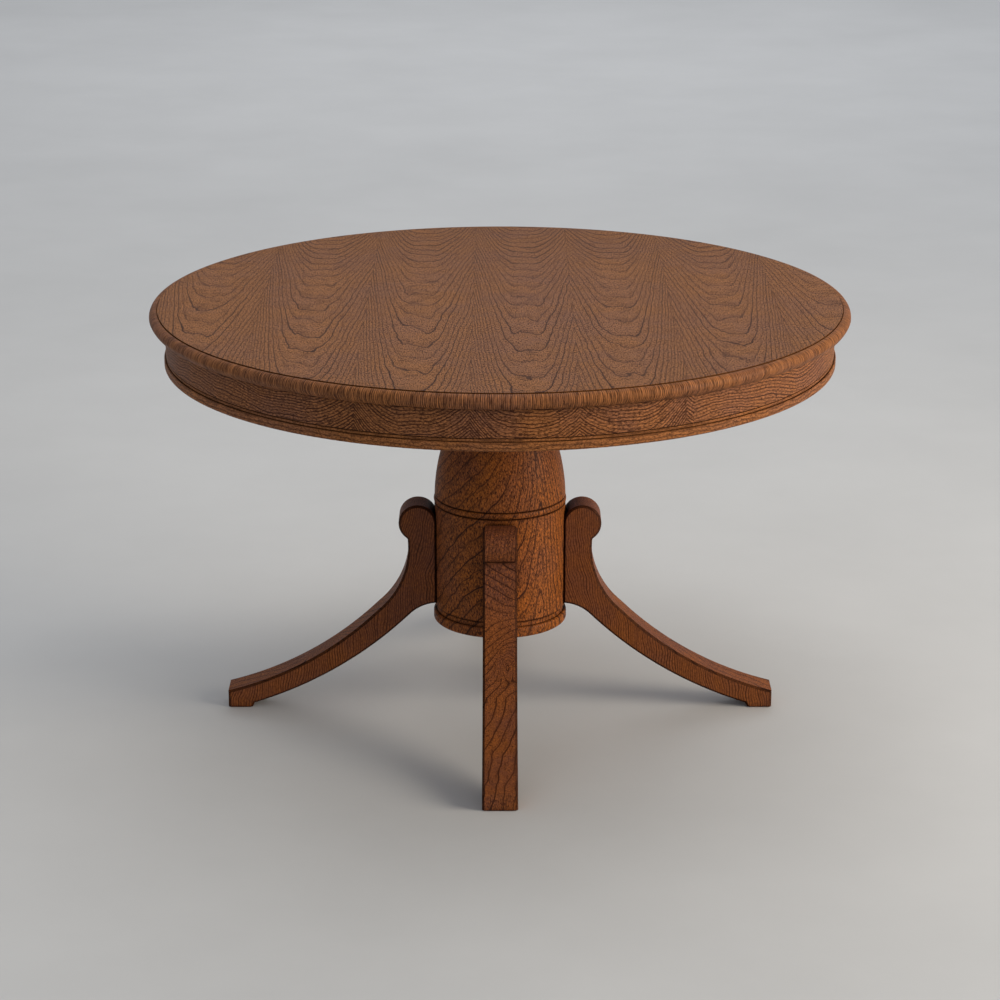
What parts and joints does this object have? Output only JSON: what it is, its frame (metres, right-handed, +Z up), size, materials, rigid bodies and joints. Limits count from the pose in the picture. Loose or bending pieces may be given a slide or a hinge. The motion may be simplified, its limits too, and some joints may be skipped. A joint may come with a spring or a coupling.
{
  "type": "pedestal dining table",
  "caption": "Round pedestal dining table with a moulded veneered top, a beaded apron, a bulb-shaped turned pedestal and swept scroll-topped legs.",
  "frame": {"origin": "on the floor, on the pedestal's axis", "axes": "+Z up along the pedestal, -Y out along the front leg, +X out along the right leg"},
  "size_m": [1.2192, 1.2192, 0.752],
  "materials": {
    "face_veneer": "satin lacquer over stained figured veneer",
    "edge_wood": "satin lacquer",
    "apron_wood": "satin lacquer",
    "turned_wood": "satin lacquer",
    "leg_wood": "satin lacquer",
    "frame_wood": "planed, unfinished",
    "dowel_wood": "unfinished",
    "core_board": "board, unfinished",
    "backing_veneer": "sealed veneer",
    "glide_plastic": "moulded",
    "zinc_steel": "zinc plated"
  },
  "bodies": {
    "root": {"apron_segment_1": "apron_wood", "apron_segment_2": "apron_wood", "apron_segment_3": "apron_wood", "apron_segment_4": "apron_wood", "apron_segment_5": "apron_wood", "apron_segment_6": "apron_wood", "backing_veneer": "backing_veneer", "base_bead_1": "apron_wood", "base_bead_2": "apron_wood", "base_bead_3": "apron_wood", "base_bead_4": "apron_wood", "base_bead_5": "apron_wood", "base_bead_6": "apron_wood", "base_ring": "turned_wood", "batten_cross": "frame_wood", "batten_long": "frame_wood", "batten_screws": "zinc_steel", "block_screws": "zinc_steel", "edge_lipping_1": "edge_wood", "edge_lipping_2": "edge_wood", "edge_lipping_3": "edge_wood", "edge_lipping_4": "edge_wood", "edge_lipping_5": "edge_wood", "edge_lipping_6": "edge_wood", "edge_lipping_7": "edge_wood", "edge_lipping_8": "edge_wood", "face_leaf_1": "face_veneer", "face_leaf_2": "face_veneer", "face_leaf_3": "face_veneer", "face_leaf_4": "face_veneer", "face_leaf_5": "face_veneer", "face_leaf_6": "face_veneer", "face_leaf_7": "face_veneer", "foot_glides": "glide_plastic", "glue_blocks": "frame_wood", "leg_back": "leg_wood", "leg_bolt_nuts": "zinc_steel", "leg_bolt_washers": "zinc_steel", "leg_bolts": "zinc_steel", "leg_dowels": "dowel_wood", "leg_front": "leg_wood", "leg_left": "leg_wood", "leg_right": "leg_wood", "pedestal_cap": "turned_wood", "pedestal_drum": "turned_wood", "pedestal_neck": "turned_wood", "plate_screws": "zinc_steel", "ring_bead": "turned_wood", "splice_blocks": "frame_wood", "tie_rod": "zinc_steel", "tie_rod_nuts": "zinc_steel", "tie_rod_washers": "zinc_steel", "top_core": "core_board", "top_plate": "frame_wood"}
  },
  "joints": []
}
